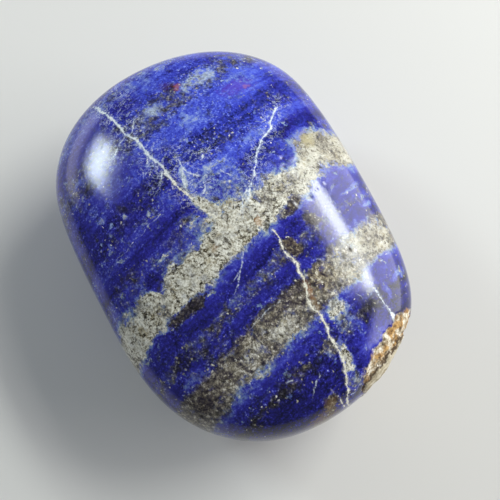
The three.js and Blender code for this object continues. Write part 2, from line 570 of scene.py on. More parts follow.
# %% Noises
NOISES = {  # what it draws: its W, waves per mm, octaves, how much the finer ones count
    "slow bend": (0, 0.17, 2, 0.5),  # the long bend of the beds
    "ragged": (1, 0.7, 5, 0.66),  # their torn edges
    "grain": (2, 1.6, 4, 0.7),  # the crystals
    "lumps": (3, 0.33, 2, 0.5),  # restless and calm places
    "streaks": (4, 1.0, 5, 0.68),  # along the beds, in a place that is drawn out along them
    "fine": (5, 3.3, 1, 0.6),  # the finest crystals
    "flecks": (6, 1.3, 4, 0.7),  # of calcite and diopside
    "crumbs": (8, 1.6, 4, 0.7),  # of calcite
    "net": (9, 1.5, 3, 0.6),  # of white hairlines
    "rust": (10, 0.5, 4, 0.7),  # in the calcite
    "clouds": (11, 0.62, 5, 0.66),  # of dark matrix
    "matrix": (12, 1.7, 4, 0.75),  # its own crystals
    "frayed": (13, 0.8, 5, 0.7),  # edges of the veins
    "breaks": (14, 1.3, 4, 0.75),  # in the veins
    "hairs": (15, 0.8, 3, 0.6),  # beside them
    "crust crumbs": (17, 0.9, 6, 0.78),  # ochre and white
    "sheets": (18, 1.0, 4, 0.7),  # of ivory, drawn out in the same way
    "spots": (19, 0.85, 3, 0.6),  # of calcite in the blue
    "crumbly": (20, 0.75, 5, 0.75),  # rims of the patches
    "torn": (21, 0.85, 5, 0.75),  # edge between blue and calcite
    "crust rust": (22, 0.45, 4, 0.7),  # over the crumbs
}


def stirred(tree, place, by, noise):
    """place, pushed every way by a noise, by about so many millimetres"""
    push = add(tree, "TexNoise", [place, *NOISES[noise]], **GRAINY).outputs["Color"]
    return add(tree, "VectorMath", [push, (by, by, by), place], operation="MULTIPLY_ADD")


print("noises:", len(NOISES))

# %% [markdown]
# Beds alone would be stripes. A real one swells, pinches out and holds lenses of something else,
# so patches are laid over them. Each is a soft ellipsoid in the rock, whose upper part the
# polish has cut open: a place and two half sizes in millimetres as seen from above, a turn in
# degrees, the three numbers that it brings and how strongly it brings them. Dividing a place by
# the half sizes turns the ellipsoid into a ball, so the length of what comes out says how far
# out the place is.

# %% Patches
PATCH_LEVEL = 25
PATCH_HALF_HEIGHT = 9
PATCH_RIM = (1.35, 0.55)  # how far out, of its half sizes, a patch begins and is whole
TURN_STEP = 15  # degrees: patches that are turned alike share one turned view of the rock
PATCHES = [  # name, x, y, half sizes, turn, whiteness, dark share, warmth, strength
    ("fan of calcite, left", -2.2, -3.0, 4.2, 1.3, 16, 0.84, 0.18, 0.3, 0.9),
    ("fan of calcite, middle", 1.6, 0.6, 3.4, 2.6, 20, 0.84, 0.22, 0.5, 0.85),
    ("grey shoulder of the fan", -3.4, 2.2, 2.4, 1.8, 0, 0.45, 0.35, 0.3, 0.7),
    ("calcite beside the fan", 2.5, -3.6, 2.6, 1.4, -10, 0.78, 0.25, 0.3, 0.8),
    ("sky blue in the fan", 1.0, -4.4, 1.3, 0.6, 10, 0.56, 0.05, 0.0, 0.8),
    ("pale haze, upper", -4.6, 2.2, 2.6, 3.4, 10, 0.50, 0.18, 0.1, 0.85),
    ("pale haze by the hairlines", -5.6, -2.4, 4.2, 2.0, 10, 0.54, 0.12, 0.1, 0.8),
    ("pale haze, low", 0.4, -5.7, 2.4, 1.8, 10, 0.62, 0.15, 0.1, 0.65),
    ("yellow calcite", -5.4, 17.6, 1.2, 1.0, 0, 0.80, 0.05, 0.9, 0.8),
    ("calcite on the flank", -2.4, 18.6, 4.6, 5.4, -8, 0.78, 0.08, 0.5, 0.9),
    ("blue above the fan", -3.6, 11.4, 3.0, 2.8, -10, 0.27, 0.10, 0.0, 0.8),
    ("calcite above the fan", 1.6, 8.6, 2.2, 4.6, 14, 0.67, 0.28, 0.45, 0.8),
    ("brown stain", -1.7, 7.2, 1.0, 0.8, 30, 0.40, 0.75, 0.8, 0.8),
    ("brown stain 2", 1.6, 4.7, 1.8, 0.6, -5, 0.45, 0.70, 0.8, 0.8),
    ("black edge, upper", 4.7, 8.6, 0.9, 2.3, 30, 0.16, 1.0, 0.9, 0.95),
    ("black edge, lower", 5.3, 6.9, 1.1, 2.2, 15, 0.30, 0.66, 0.6, 0.75),
    ("grey knot", 7.8, 10.4, 1.3, 1.5, 0, 0.28, 0.85, 0.8, 0.9),
    ("brown knot", 10.4, 5.6, 1.8, 1.2, 15, 0.34, 0.85, 1.0, 0.9),
    ("deep blue pocket", 6.9, 6.6, 0.9, 1.6, 0, 0.14, 0.05, 0.0, 0.8),
    ("blue mottled", 12.0, 8.8, 1.8, 2.4, 10, 0.20, 0.25, 0.1, 0.7),
    ("calcite and beige", 16.4, 11.6, 2.6, 2.4, 10, 0.72, 0.28, 0.7, 0.85),
    ("beige and brown", 16.4, 7.0, 2.4, 3.0, 8, 0.50, 0.66, 1.0, 0.88),
    ("pale lump in the band", 20.8, -1.6, 1.5, 2.6, 20, 0.86, 0.30, 0.3, 0.8),
    ("pale lump lower in it", 21.6, -7.4, 1.2, 2.4, 15, 0.72, 0.45, 0.4, 0.6),
    ("pitted pale blotch", 21.6, 7.2, 1.7, 1.6, -20, 0.74, 0.22, 0.2, 0.85),
    ("dark by the blotch", 24.6, 7.6, 1.8, 2.2, 10, 0.42, 0.42, 0.4, 0.8),
    # a lighter violet blue, partly the rock's own and partly a painted sheen
    ("violet blue end, partly painted sheen", 27.6, 10.2, 2.2, 4.0, 14, 0.28, 0.0, 0.0, 0.95),
    ("pale by the vein", 28.4, 4.8, 3.0, 0.9, -6, 0.70, 0.22, 0.1, 1.0),
    ("sky blue at the knot", 6.6, 2.4, 1.3, 1.0, 0, 0.58, 0.0, 0.0, 0.9),
    ("grey before the crust", 32.4, 4.8, 1.8, 1.6, 0, 0.42, 0.50, 0.3, 0.9),
    ("grey-brown by the vein", 26.3, 3.1, 1.8, 0.9, 0, 0.42, 0.50, 0.7, 0.85),
    ("brown smear at the dash", 27.2, -3.6, 1.5, 1.9, 0, 0.22, 0.48, 0.6, 0.75),
    ("black smear, low", 29.3, -6.3, 1.3, 2.2, 0, 0.06, 0.60, 0.2, 0.8),
    ("blue under the calcite", 3.2, 14.4, 1.3, 2.0, 0, 0.20, 0.02, 0.0, 0.85),
    ("calcite of the flank", 14.6, 18.2, 3.4, 4.2, 0, 0.76, 0.10, 0.6, 0.95),
    ("blue of the flank", 4.4, 18.6, 4.2, 3.0, 8, 0.20, 0.04, 0.0, 0.9),
    ("grey rib of the flank", 5.4, 19.6, 0.5, 2.4, 12, 0.55, 0.20, 0.2, 0.7),
    ("pale rib of the flank", 8.6, 20.6, 0.6, 1.4, 8, 0.50, 0.20, 0.1, 0.7),
    ("blue of the flank 2", 18.6, 18.4, 1.6, 3.2, 8, 0.22, 0.04, 0.0, 0.9),
    ("pale of the flank 2", 21.0, 19.4, 0.6, 2.2, 8, 0.55, 0.05, 0.0, 0.7),
    ("sky blue of the flank", 22.6, 15.9, 1.0, 0.7, 0, 0.48, 0.05, 0.0, 0.8),
    ("deep bite, left of calcite", 5.2, -15.0, 1.9, 1.5, 0, 0.13, 0.06, 0.0, 0.95),
    ("calcite low", 8.2, -18.2, 1.8, 1.9, 0, 0.78, 0.28, 0.2, 0.8),
    ("sky blue low", 7.6, -20.7, 1.6, 1.0, 0, 0.55, 0.08, 0.0, 0.8),
    ("black edge of calcite", 11.3, -12.2, 1.0, 3.8, 8, 0.14, 0.90, 0.6, 0.85),
    ("black bite by the calcite", 12.0, -15.6, 1.2, 1.0, 0, 0.12, 0.70, 0.7, 0.75),
    ("black blotches low", 17.3, -16.7, 1.2, 2.0, 15, 0.06, 0.45, 0.2, 0.85),
    ("deep blue low", 14.2, -18.6, 1.8, 3.4, 10, 0.12, 0.12, 0.1, 0.75),
    ("brown in calcite", 9.6, -16.0, 1.2, 1.0, 20, 0.44, 0.62, 0.8, 0.75),
    ("light streak", 2.3, -12.1, 0.35, 1.3, 8, 0.60, 0.02, 0.0, 0.8),
    ("brown by the fan", -0.8, -6.9, 0.9, 2.0, 10, 0.30, 0.55, 0.7, 0.75),
    ("mottled blue", 2.1, -7.2, 1.8, 1.2, 0, 0.36, 0.12, 0.0, 0.7),
    ("brown by calcite", 4.2, -10.0, 0.8, 0.9, 0, 0.35, 0.65, 0.7, 0.7),
    ("brown specks low", 2.2, -18.8, 1.7, 2.8, 0, 0.24, 0.45, 0.5, 0.7),
    ("beige specks", -6.8, -14.6, 0.6, 0.5, 0, 0.62, 0.20, 0.8, 0.8),
    ("beige specks 2", -8.2, -18.4, 0.5, 1.0, 10, 0.52, 0.30, 0.8, 0.7),
    ("beige specks 3", -3.8, -18.8, 0.9, 0.5, -20, 0.56, 0.30, 0.8, 0.7),
    ("beige specks 4", -5.2, -17.6, 0.6, 0.5, 0, 0.48, 0.40, 0.8, 0.7),
    ("clean deep blue low", -9.0, -22.0, 2.0, 2.0, 0, 0.12, 0.03, 0.0, 0.8),
    ("whitish streak, upper", -24.5, 7.3, 1.6, 3.4, 18, 0.66, 0.18, 0.1, 0.85),
    ("whitish streak, lower", -21.8, -2.6, 1.0, 2.4, 22, 0.66, 0.22, 0.1, 0.85),
    ("maroon", -25.4, 1.6, 1.0, 1.4, 10, 0.18, 0.45, 0.6, 0.6),
    ("vivid blue", -27.6, -1.4, 2.3, 2.2, 0, 0.40, 0.02, 0.0, 0.8),
    ("pale far left", -30.2, 2.2, 1.0, 0.8, 0, 0.60, 0.10, 0.1, 0.7),
    ("grey far left", -28.6, -7.4, 1.2, 1.8, 10, 0.30, 0.45, 0.3, 0.7),
    ("deep far left", -25.6, -6.6, 1.6, 2.0, 0, 0.20, 0.04, 0.0, 0.8),
    ("sky blue upper left", -17.0, 1.6, 2.3, 3.0, 20, 0.42, 0.04, 0.0, 0.8),
    ("vivid upper left", -21.8, 14.4, 2.6, 3.4, 10, 0.38, 0.02, 0.0, 0.85),
    ("light ribbon", -12.2, 18.2, 1.0, 4.0, 16, 0.34, 0.05, 0.0, 0.8),
    ("light ribbon 2", -8.6, 9.4, 0.9, 3.6, 16, 0.42, 0.05, 0.0, 0.7),
    ("pale net", -7.4, -3.7, 2.6, 0.5, -8, 0.70, 0.10, 0.1, 0.8),
    ("royal pocket", -4.4, -2.4, 0.8, 0.9, 0, 0.34, 0.02, 0.0, 0.7),
    ("olive knot", 17.9, -11.0, 1.0, 1.5, 10, 0.34, 0.5, 0.7, 0.7),
    ("black knot", 18.2, -13.6, 1.6, 0.9, 0, 0.16, 0.62, 0.3, 0.7),
    ("ribbon of light", -7.2, 1.2, 0.6, 2.8, 15, 0.60, 0.05, 0.0, 0.7),
    ("grey lens", 20.1, -16.4, 0.8, 1.7, 20, 0.50, 0.30, 0.4, 0.8),
    ("brown low of band", 24.0, -16.8, 1.8, 3.0, 8, 0.30, 0.72, 0.8, 0.8),
    ("teal grey edge", 24.8, -8.0, 0.8, 2.6, 12, 0.50, 0.15, 0.2, 0.7),
    ("teal grey spot", 25.7, -11.6, 1.0, 1.7, 10, 0.42, 0.12, 0.1, 0.7),
    # its darkest blue is partly the rock's own and partly painted shade, the dark reflection at that end
    ("darkest end, partly painted shade", 31.4, -7.0, 2.0, 5.0, 12, 0.05, 0.05, 0.0, 0.9),
    ("ochre end", 33.3, -0.4, 1.6, 1.1, -30, 0.40, 0.75, 1.0, 0.95),
]


def turned(tree, place, degrees):
    """place as seen from axes that are turned about Z"""
    c = math.cos(math.radians(degrees))
    s = math.sin(math.radians(degrees))
    x = add(tree, "VectorMath", [place, (c, s, 0)], operation="DOT_PRODUCT")
    y = add(tree, "VectorMath", [place, (-s, c, 0)], operation="DOT_PRODUCT")
    z = add(tree, "SeparateXYZ", [place]).outputs["Z"]
    return add(tree, "CombineXYZ", [x, y, z])


def lens(tree, name, place, middle, half_sizes, rim, frayed_by, strength=1.0):
    """How much of a soft lens is here: strength inside it, nothing beyond its frayed rim"""
    closer = [1 / half for half in half_sizes]
    offset = [-m / half for m, half in zip(middle, half_sizes)]
    local = add(tree, "VectorMath", [place, closer, offset], operation="MULTIPLY_ADD", label=name)
    far = add(tree, "VectorMath", [local], operation="LENGTH")
    far = add(tree, "Math", [*frayed_by, far], operation="MULTIPLY_ADD")
    return add(tree, "MapRange", [far, *rim, 0.0, strength], **SOFT)


def nearest_turn(degrees):
    return TURN_STEP * round(degrees / TURN_STEP)


def mixture_of_the_rock(tree, ragged, across):
    left = bed_ramp(tree, across, BEDS_LEFT)
    right = bed_ramp(tree, across, BEDS_RIGHT)
    side = add(tree, "Math", [across, 0.0], operation="GREATER_THAN")
    mixture = add(tree, "Mix", [side, left, right], **MIXED)
    crumbly = add(tree, "TexNoise", [ragged, *NOISES["crumbly"]], **GRAINY)
    turns = sorted({nearest_turn(patch[5]) for patch in PATCHES})
    views = {turn: turned(tree, ragged, turn) for turn in turns}
    for name, x, y, half_x, half_y, turn, white, dark, warm, strength in PATCHES:
        turn = nearest_turn(turn)
        c = math.cos(math.radians(turn))
        s = math.sin(math.radians(turn))
        middle = (x * c + y * s, y * c - x * s, PATCH_LEVEL)
        half_sizes = (half_x, half_y, PATCH_HALF_HEIGHT)
        share = lens(tree, name, views[turn], middle, half_sizes, PATCH_RIM, (crumbly, 0.3), strength)
        mixture = add(tree, "Mix", [share, mixture, (white, dark, warm, 1)], **MIXED)
    return add(tree, "SeparateColor", [mixture]).outputs


print("patches:", len(PATCHES))

# %% [markdown]
# ## Veins
# Late cracks through the whole rock were healed by white calcite. Each one is a crooked sheet that
# stands upright, so on the polished top it shows as the line where it comes out, and it is
# described by the points of that line. A curve carries the sideways bends along the chord, and
# the gap is the distance to the sheet less its own half width: below zero is vein, and a little
# above zero is the haze beside it. Half a dozen maths nodes do it, because a mapping node for
# each vein would run into the renderer's limit.

# %% Veins
VEINS = [  # name, filling, half width in mm, the level that it reaches down to, points in mm
    ("long vein, left", "bluish", 0.2, -1, [
        (-30.5, -11.2), (-28, -10.2), (-26, -9.6), (-24, -9.1), (-22, -8.7), (-20.3, -8.5), (-19.2, -8),
        (-18.2, -7.4), (-16.5, -7.1), (-14.6, -7), (-13.2, -6.6), (-11.8, -6.1), (-9.5, -5.8),
        (-7, -5.4)]),
    ("long vein, near the knot", "cream", 0.16, -1, [
        (-12.5, -6.3), (-11.8, -6.1), (-9.5, -5.8), (-7, -5.4), (-5.5, -5), (-4.5, -4.6), (-3, -4.2),
        (-1, -3.5), (0.5, -2.7), (2, -2), (3, -1.5), (3.9, -0.6)]),
    ("upper strand", "bluish", 0.09, 14, [
        (-11.5, -3.3), (-9.5, -3.3), (-8, -3.7), (-6, -4.4), (-4.5, -4.5)]),
    ("long vein, right", "cream", 0.15, -1, [
        (5.3, 3.4), (6, 3.7), (7, 4.2), (8, 4.4), (9, 4.3), (10, 4.2), (11, 4.3), (12, 4.7), (13.2, 4.9),
        (14.2, 4.6), (15.2, 4.7), (16.3, 4.4), (17.5, 4.1), (18.6, 3.7), (20, 3.7), (21, 4.2),
        (22.3, 4.3), (23.5, 4.3), (24.7, 4), (26, 4.2), (27.2, 4.3), (28.4, 4.2), (29.5, 3.9),
        (30.5, 3.6), (31.5, 3.2), (32.6, 3), (33.8, 2.4), (36, 2.6)]),
    ("right vein's branch", "cream", 0.07, 12, [
        (31.5, 0.7), (33, 1.3), (34, 1.5), (35.2, 2.3)]),
    ("cross vein", "bluish", 0.11, -1, [
        (-13.8, 17), (-13.2, 16.4), (-12.6, 15.6), (-11.3, 14.2), (-10.4, 13.3), (-9.5, 12.8),
        (-8.8, 12), (-8.3, 11), (-7.8, 10.2), (-7, 9.3), (-6.2, 8.6), (-5.3, 7.9), (-4.2, 7.2),
        (-3.2, 6.5), (-2.3, 5.8), (-1.6, 5.1), (-0.7, 4.3), (0.3, 3.4), (1.4, 2.4)]),
    ("cross vein's second strand", "bluish", 0.06, 14, [
        (-1.6, 5.2), (-0.8, 3.8), (0, 2.6), (1.5, 1.8), (3, 1)]),
    ("crack below the knot", "faint", 0.07, 8, [
        (6.3, -0.7), (7.3, -1.3), (8.2, -1.8), (9.2, -2.4), (10, -3.1), (10.8, -3.9), (11.5, -4.3),
        (12, -4.9), (13.2, -6)]),
    ("its twin", "faint", 0.03, 14, [
        (9.8, -3.1), (10.5, -4.2), (11.1, -5.1)]),
    ("thin line, far left", "bluish", 0.04, 4, [
        (-30.5, -6.3), (-28.5, -5.7), (-27.8, -5.2), (-26.6, -5.7)]),
    ("white seam by the crust", "bluish", 0.08, 4, [
        (19.6, 14.1), (22.5, 14.2), (24, 14.4), (25.5, 14.7), (27, 14.6)]),
    ("the seam's wider end", "bluish", 0.28, 4, [
        (24.8, 14.6), (26, 14.9), (27.2, 15.0), (28.2, 15.2), (29.2, 15.6)]),
    ("crooked hairline", "faint", 0.05, 14, [
        (27.6, 0.3), (28.5, 0), (29, -0.2), (29.3, -0.7), (29.8, -1.2), (30.2, -1.8), (30.8, -2.2),
        (31.7, -3.1)]),
    ("feather 1", "bluish", 0.08, 14, [
        (-15.4, -5.6), (-13.9, -6.4), (-13.2, -6.6)]),
    ("feather 2", "bluish", 0.07, 14, [
        (-14.4, -6.9), (-13.6, -7.4), (-12.2, -8.2)]),
    ("feather 3", "bluish", 0.09, 14, [
        (-22.2, -6.1), (-20.6, -6.8), (-19.4, -7.8)]),
    ("long feather", "bluish", 0.08, 10, [
        (-19.9, -8.5), (-19.3, -9.5), (-18.6, -10.6), (-17.8, -11.5), (-16.6, -13)]),
    ("feather 5", "bluish", 0.09, 14, [
        (-11.3, -6.0), (-10.0, -6.5), (-9.4, -6.8), (-8.4, -7.7)]),
    ("wisp 1", "bluish", 0.04, 14, [
        (-11.6, -3.0), (-10.4, -3.2), (-9.1, -3.3), (-7.3, -2.3), (-6.1, -1.5), (-5.0, -1.4)]),
    ("wisp 2", "bluish", 0.1, 14, [
        (-5.8, -1.4), (-4.8, -1.5), (-3.8, -2.1), (-3.4, -3.1), (-3.2, -4.0)]),
    ("wisp 3", "bluish", 0.1, 14, [
        (-9.4, -3.3), (-8.2, -3.7), (-7.1, -4.1), (-4.9, -4.5)]),
    ("wisp 4", "bluish", 0.09, 14, [
        (-10.4, -0.4), (-10.1, 0.6), (-9.9, 1.5)]),
    ("wisp 5", "bluish", 0.09, 14, [
        (-10.1, 1.0), (-9.4, 0.5), (-8.5, 0.0)]),
    ("thin line in the haze", "faint", 0.06, 14, [
        (-7.2, 0.8), (-5.6, 2.0), (-4.3, 2.7), (-2.8, 3.4)]),
    ("faint line, upper right", "faint", 0, 14, [
        (20.2, 10.7), (22.4, 11.8)]),
    ("short dash", "faint", 0.06, 14, [
        (27.5, -5.4), (27.5, -4.5), (27.8, -3.5)]),
    ("line before the band", "faint", 0.03, 14, [
        (18.5, -6.9), (17.5, -3.9), (16.9, -1.4), (17.1, 1.6)]),
    ("faint line down the side", "faint", -0.02, 6, [
        (-4.6, -7.9), (-4.4, -9.2), (-3.6, -10.6), (-3.5, -12.1), (-2.7, -13.6), (-2.6, -15.0),
        (-1.8, -16.7), (-1.6, -18.4), (-0.6, -20.4)]),
]
CURVE_REACH = 8.0  # mm that a vein may stray from its chord, either way
TAPER = 2.0  # mm over which a vein runs out at its ends
CUT_AWAY = -0.12  # mm: a half width this far below nothing hides a vein
FADE_DOWN = 1.5  # mm either way over which a shallow vein ends below
FAR_OFF = 9.0  # mm: as good as no vein near


def gap_to_vein(tree, place, level, name, filling, half_width, lowest, points):
    (x0, y0), (x1, y1) = points[0], points[-1]
    length = math.hypot(x1 - x0, y1 - y0)
    c = (x1 - x0) / length
    s = (y1 - y0) / length
    along = [place, (c / length, s / length, 0)]
    along = add(tree, "VectorMath", along, operation="DOT_PRODUCT", label=name)
    along = add(tree, "Math", [along, (x0 * c + y0 * s) / length], operation="SUBTRACT")
    aside = add(tree, "VectorMath", [place, (-s, c, 0)], operation="DOT_PRODUCT")
    bend = add(tree, "FloatCurve", {"Value": along})
    curve = bend.mapping.curves[0]
    for x, y in points[1:-1]:
        off = (y - y0) * c - (x - x0) * s
        curve.points.new(((x - x0) * c + (y - y0) * s) / length, 0.5 + off / CURVE_REACH / 2)
    curve.points[0].location = (0, 0.5)
    curve.points[len(curve.points) - 1].location = (1, 0.5)
    for point in curve.points:
        point.handle_type = "AUTO_CLAMPED"
    bend.mapping.update()
    off = add(tree, "Math", [aside, y0 * c - x0 * s - CURVE_REACH], operation="SUBTRACT")
    off = add(tree, "Math", [bend, -2 * CURVE_REACH, off], operation="MULTIPLY_ADD")
    off = add(tree, "Math", [off], operation="ABSOLUTE")
    middle = add(tree, "Math", [along, 0.5], operation="SUBTRACT")
    middle = add(tree, "Math", [middle], operation="ABSOLUTE")
    taper = 0.5 - min(0.4, TAPER / length)
    width = add(tree, "MapRange", [middle, 0.5, taper, CUT_AWAY, half_width], **SOFT)
    gap = add(tree, "Math", [off, width], operation="SUBTRACT")
    beyond = add(tree, "Math", [middle, length, -length / 2], operation="MULTIPLY_ADD")
    gap = add(tree, "Math", [gap, beyond], operation="MAXIMUM")
    if lowest < 0:
        return gap
    under = add(tree, "MapRange", [level, lowest + FADE_DOWN, lowest - FADE_DOWN, 0.0, 2.0], **SOFT)
    return add(tree, "Math", [gap, under], operation="ADD")


def gap_to_veins(tree, place, level, filling):
    nearest = FAR_OFF
    for vein in VEINS:
        if vein[1] == filling:
            gap = gap_to_vein(tree, place, level, *vein)
            nearest = add(tree, "Math", [gap, nearest], operation="MINIMUM")
    return nearest


print("veins:", len(VEINS), "with", sum(len(vein[4]) for vein in VEINS), "points")

# %% [markdown]
# ## The minerals
# Each mineral has one function. It is given what the rock is like at this place and the colour
# so far, and returns the colour with itself laid over it. What they share is worked out once:
# `grain` is as fine as the real crystals, half a millimetre and less, `lumps` are a few
# millimetres, and `busy` says how restless the rock is here, because clean blue has hardly any
# grain and the rock near dark beds is full of it.

# %% What the minerals share
BENT_BY = 0.57  # mm that the slow bend moves the beds
TORN_BY = 0.34  # mm that their edges are torn
STREAK_TURN = 15.6  # the beds run this many degrees off the stone's own axes
STREAK_SHAPE = (1.3, 0.2, 0.2)  # squeezed across the beds and drawn out along them
# over the same span the calcite is painted darker towards the far flank: painted shade on that brightly
# lit side
CALM_AND_SHADED_FLANK = (6.0, 16.0)  # mm along Y, over which the grain calms down towards the far flank
HALF_WHITE = 0.52  # the whiteness at which blue gives way to calcite


def rock_fields(tree):
    rock = SimpleNamespace()
    coordinates = add(tree, "TexCoord").outputs["Object"]
    in_mm = [coordinates, (1 / MM, 1 / MM, 1 / MM), BLANK_MIDDLE]
    rock.place = add(tree, "VectorMath", in_mm, operation="MULTIPLY_ADD")
    rock.bent = stirred(tree, rock.place, BENT_BY, "slow bend")
    rock.ragged = stirred(tree, rock.bent, TORN_BY, "ragged")
    rock.across = beds_across(tree, rock.ragged)
    whiteness, rock.dark, rock.warm = mixture_of_the_rock(tree, rock.ragged, rock.across)

    rock.grain = add(tree, "TexNoise", [rock.place, *NOISES["grain"]], **GRAINY)
    fine = add(tree, "TexNoise", [rock.place, *NOISES["fine"]], **GRAINY)
    sideways = add(tree, "SeparateXYZ", [rock.place]).outputs["Y"]
    # 1 in the middle and a half on the far flank: calmer grain there, and painted shade on its calcite
    rock.calmer = add(tree, "MapRange", [sideways, *CALM_AND_SHADED_FLANK, 1.0, 0.5], **SOFT)
    rock.fine = add(tree, "Math", [fine, rock.calmer], operation="MULTIPLY")
    torn = add(tree, "TexNoise", [rock.place, *NOISES["torn"]], **GRAINY)
    torn = add(tree, "Math", [torn, rock.calmer], operation="MULTIPLY")
    between = add(tree, "Math", [whiteness, HALF_WHITE], operation="SUBTRACT")
    between = add(tree, "Math", [between], operation="ABSOLUTE")
    between = add(tree, "MapRange", [between, 0.22, 0.04, 0.0, 0.26], **SOFT)
    rock.whiteness = add(tree, "Math", [torn, between, whiteness], operation="MULTIPLY_ADD")
    rock.lumps = add(tree, "TexNoise", [rock.ragged, *NOISES["lumps"]], **GRAINY)
    lengthened = [turned(tree, rock.ragged, STREAK_TURN), STREAK_SHAPE]
    lengthened = add(tree, "VectorMath", lengthened, operation="MULTIPLY")
    rock.streaks = add(tree, "TexNoise", [lengthened, *NOISES["streaks"]], **GRAINY)
    restless = add(tree, "Math", [rock.lumps, 0.34, rock.dark], operation="MULTIPLY_ADD")
    rock.busy = add(tree, "MapRange", [restless, 0.02, 0.35, 0.48, 1.0])
    return rock


# %% [markdown]
# ** Lazurite** is the blue. Streaks along the beds and the grain shift how much calcite it holds,
# and slow lumps decide whether it leans to violet, as the middle of this stone does, or to
# azure, as its far end does. That azure end is partly the rock's own colour and partly painted
# light, the cast of a sky-blue window on that end. Small flecks of calcite and diopside sit in
# the restless parts.

# %% Lazurite
CLEAN_BLUE = 0.28  # calm places lose what calcite they have beyond this
# the azure end is partly the rock's own colour and partly painted light, the cast of a sky-blue window
AZURE_END_AND_PAINTED_LIGHT = ((-17, 6, 0), (13, 12, math.inf), (1.5, 0.6))  # middle and half sizes in mm, rim


def lazurite(tree, rock):
    cleaner = add(tree, "MapRange", [rock.lumps, -0.25, 0.25, -0.6, 0.0], **SOFT)
    over = add(tree, "Math", [rock.whiteness, CLEAN_BLUE], operation="SUBTRACT")
    over = add(tree, "Math", [over, 0.0], operation="MAXIMUM")
    light = add_up(tree, rock.whiteness, (over, cleaner), (rock.streaks, 0.115))
    specks = add(tree, "Math", [rock.grain, 0.3, rock.fine], operation="MULTIPLY_ADD")
    specks = add(tree, "Math", [specks, -0.4], operation="MAXIMUM")
    size = add(tree, "Math", [specks], operation="ABSOLUTE")
    sharp = add(tree, "Math", [size, 0.5, 0.15], operation="MULTIPLY_ADD")
    sharp = add(tree, "Math", [sharp, rock.busy], operation="MULTIPLY")
    light = add(tree, "Math", [specks, sharp, light], operation="MULTIPLY_ADD")
    violet = fill_ramp(add(tree, "ValToRGB", [light]), VIOLET_BLUE)
    azure = fill_ramp(add(tree, "ValToRGB", [light]), AZURE_BLUE)
    # azure at the far end: partly its own colour, partly painted window light
    share = lens(tree, "azure end", rock.bent, *AZURE_END_AND_PAINTED_LIGHT, (rock.lumps, 0.9))
    colour = add(tree, "Mix", [share, violet, azure], **MIXED)

    greyed = fill_ramp(add(tree, "ValToRGB", [light]), GREYED_BLUE)
    flecks = add(tree, "TexNoise", [rock.place, *NOISES["flecks"]], **GRAINY)
    flecks = add(tree, "Math", [rock.busy, 0.9, flecks], operation="MULTIPLY_ADD")
    share = add(tree, "MapRange", [flecks, 0.7, 1.5, 0.0, 0.85], **SOFT)
    return add(tree, "Mix", [share, colour, greyed], **MIXED)


# %% [markdown]
# ** Calcite** starts as a blue haze at its edge, where thin blue still shines through, and is a
# greyish cream further in. Its crumbs are bright, the gaps between them were torn out in
# polishing and are painted dark brown, and a net of white hairlines holds it together.

# %% Calcite
HAZE_RANGE = (0.26, 0.50)  # how much calcite shows as haze over the blue
CREAM_RANGE = (0.48, 0.72)  # and how much hides the blue
AZURE_HALF = (-1.0, -9.0)  # mm across the beds, over which the calcite's haze turns azure


